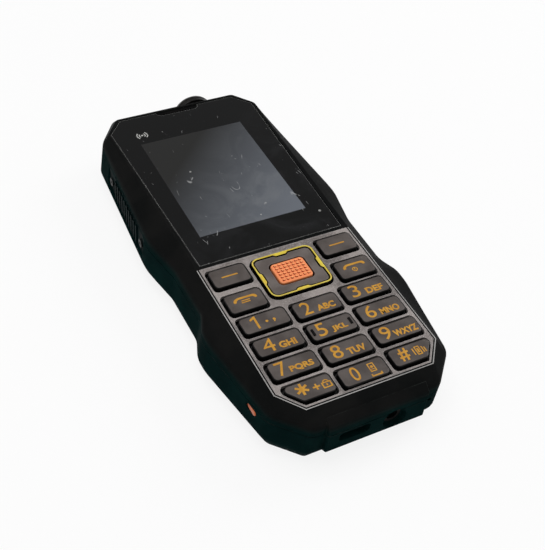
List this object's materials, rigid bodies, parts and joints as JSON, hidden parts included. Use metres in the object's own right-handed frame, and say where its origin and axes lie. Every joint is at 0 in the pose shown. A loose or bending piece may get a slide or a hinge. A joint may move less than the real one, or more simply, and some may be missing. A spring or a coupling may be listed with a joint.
{
  "type": "rugged keypad phone",
  "caption": "Rugged one-piece keypad phone with faceted case, glossy screen, number keys, navigation key, torch head and side grips.",
  "frame": {"origin": "middle of the whole phone's footprint, on the surface that it lies on", "axes": "+Z out of the screen, +Y towards the torch end, +X to the phone's right as its screen is read"},
  "size_m": [0.0666, 0.145, 0.0206],
  "materials": {
    "case_plastic": "fine satin moulding texture",
    "key_plastic": "satin, moulded, orange-gold legends",
    "keypad_metal": "satin metallic with fine grain",
    "bright_trim": "bright edge",
    "gold_rim": "polished gold tone",
    "ok_orange": "satin with small raised bumps",
    "screen_glass": "glossy",
    "display": "dark, switched off",
    "dark_plastic": "plain moulded",
    "white_plastic": "plain moulded",
    "grip_rubber": "matte",
    "silicone": "translucent grey, matte",
    "screw_steel": "machined",
    "steel_sheet": "stamped",
    "magnesium": "cast, matte",
    "circuit_board": "green solder mask",
    "battery_wrap": "printed film, plain",
    "contact_gold": "plated",
    "torch_metal": "black satin",
    "reflector_chrome": "polished",
    "clear_lens": "clear",
    "side_orange": "satin"
  },
  "bodies": {
    "case": {"antenna": "contact_gold", "audio_jack": "dark_plastic", "backlight": "white_plastic", "battery": "battery_wrap", "battery_contacts": "contact_gold", "camera_module": "dark_plastic", "camera_window": "clear_lens", "case_screws": "screw_steel", "chassis": "magnesium", "contact_block": "dark_plastic", "display_panel": "display", "earpiece": "dark_plastic", "earpiece_grille": "steel_sheet", "front_case": "case_plastic", "grip_left": "grip_rubber", "grip_right": "grip_rubber", "grip_screws": "screw_steel", "keypad_board": "circuit_board", "keypad_membrane": "silicone", "keypad_plate": "keypad_metal", "loudspeaker": "dark_plastic", "main_board": "circuit_board", "memory_card_holder": "steel_sheet", "microphone": "steel_sheet", "plate_trim": "bright_trim", "rear_case": "case_plastic", "screen_window": "screen_glass", "shield_cans": "steel_sheet", "side_switch": "dark_plastic", "sim_holders": "steel_sheet", "snap_domes": "steel_sheet", "torch_bezel": "torch_metal", "torch_led": "white_plastic", "torch_lens": "clear_lens", "torch_reflector": "reflector_chrome", "usb_shell": "steel_sheet", "usb_tongue": "dark_plastic", "vibration_motor": "steel_sheet"},
    "battery_cover": {"battery_cover": "case_plastic"},
    "side_button": {"side_button": "side_orange"},
    "nav_yoke": {"nav_yoke": "steel_sheet"},
    "nav_rocker": {"nav_key": "keypad_metal", "nav_rim": "gold_rim"},
    "ok_key": {"key_ok": "ok_orange"},
    "key_call": {"key_call": "key_plastic"},
    "key_eight": {"key_eight": "key_plastic"},
    "key_end": {"key_end": "key_plastic"},
    "key_five": {"key_five": "key_plastic"},
    "key_four": {"key_four": "key_plastic"},
    "key_hash": {"key_hash": "key_plastic"},
    "key_nine": {"key_nine": "key_plastic"},
    "key_one": {"key_one": "key_plastic"},
    "key_seven": {"key_seven": "key_plastic"},
    "key_six": {"key_six": "key_plastic"},
    "key_soft_left": {"key_soft_left": "key_plastic"},
    "key_soft_right": {"key_soft_right": "key_plastic"},
    "key_star": {"key_star": "key_plastic"},
    "key_three": {"key_three": "key_plastic"},
    "key_two": {"key_two": "key_plastic"},
    "key_zero": {"key_zero": "key_plastic"}
  },
  "joints": [
    {"name": "cover_slide", "type": "slide", "parent": "case", "child": "battery_cover", "axis": [0, -1, 0], "range_m": [0, 0.09]},
    {"name": "side_button_press", "type": "slide", "parent": "case", "child": "side_button", "axis": [1, 0, 0], "range_m": [0, 0.0005], "stiffness_N_per_m": 3000},
    {"name": "nav_tilt_up_down", "type": "hinge", "parent": "case", "child": "nav_yoke", "pos_m": [0, -0.02085, 0.0172], "axis": [1, 0, 0], "range_deg": [-2.2, 2.2], "stiffness_Nm_per_rad": 0.2},
    {"name": "nav_tilt_left_right", "type": "hinge", "parent": "nav_yoke", "child": "nav_rocker", "pos_m": [0, -0.02085, 0.01745], "axis": [0, 1, 0], "range_deg": [-1.8, 1.8], "stiffness_Nm_per_rad": 0.2},
    {"name": "ok_press", "type": "slide", "parent": "case", "child": "ok_key", "axis": [0, 0, -1], "range_m": [0, 0.0003], "stiffness_N_per_m": 3000},
    {"name": "call_press", "type": "slide", "parent": "case", "child": "key_call", "axis": [0, 0, -1], "range_m": [0, 0.00035], "stiffness_N_per_m": 3000},
    {"name": "eight_press", "type": "slide", "parent": "case", "child": "key_eight", "axis": [0, 0, -1], "range_m": [0, 0.00035], "stiffness_N_per_m": 3000},
    {"name": "end_press", "type": "slide", "parent": "case", "child": "key_end", "axis": [0, 0, -1], "range_m": [0, 0.00035], "stiffness_N_per_m": 3000},
    {"name": "five_press", "type": "slide", "parent": "case", "child": "key_five", "axis": [0, 0, -1], "range_m": [0, 0.00035], "stiffness_N_per_m": 3000},
    {"name": "four_press", "type": "slide", "parent": "case", "child": "key_four", "axis": [0, 0, -1], "range_m": [0, 0.00035], "stiffness_N_per_m": 3000},
    {"name": "hash_press", "type": "slide", "parent": "case", "child": "key_hash", "axis": [0, 0, -1], "range_m": [0, 0.00035], "stiffness_N_per_m": 3000},
    {"name": "nine_press", "type": "slide", "parent": "case", "child": "key_nine", "axis": [0, 0, -1], "range_m": [0, 0.00035], "stiffness_N_per_m": 3000},
    {"name": "one_press", "type": "slide", "parent": "case", "child": "key_one", "axis": [0, 0, -1], "range_m": [0, 0.00035], "stiffness_N_per_m": 3000},
    {"name": "seven_press", "type": "slide", "parent": "case", "child": "key_seven", "axis": [0, 0, -1], "range_m": [0, 0.00035], "stiffness_N_per_m": 3000},
    {"name": "six_press", "type": "slide", "parent": "case", "child": "key_six", "axis": [0, 0, -1], "range_m": [0, 0.00035], "stiffness_N_per_m": 3000},
    {"name": "soft_left_press", "type": "slide", "parent": "case", "child": "key_soft_left", "axis": [0, 0, -1], "range_m": [0, 0.00035], "stiffness_N_per_m": 3000},
    {"name": "soft_right_press", "type": "slide", "parent": "case", "child": "key_soft_right", "axis": [0, 0, -1], "range_m": [0, 0.00035], "stiffness_N_per_m": 3000},
    {"name": "star_press", "type": "slide", "parent": "case", "child": "key_star", "axis": [0, 0, -1], "range_m": [0, 0.00035], "stiffness_N_per_m": 3000},
    {"name": "three_press", "type": "slide", "parent": "case", "child": "key_three", "axis": [0, 0, -1], "range_m": [0, 0.00035], "stiffness_N_per_m": 3000},
    {"name": "two_press", "type": "slide", "parent": "case", "child": "key_two", "axis": [0, 0, -1], "range_m": [0, 0.00035], "stiffness_N_per_m": 3000},
    {"name": "zero_press", "type": "slide", "parent": "case", "child": "key_zero", "axis": [0, 0, -1], "range_m": [0, 0.00035], "stiffness_N_per_m": 3000}
  ]
}
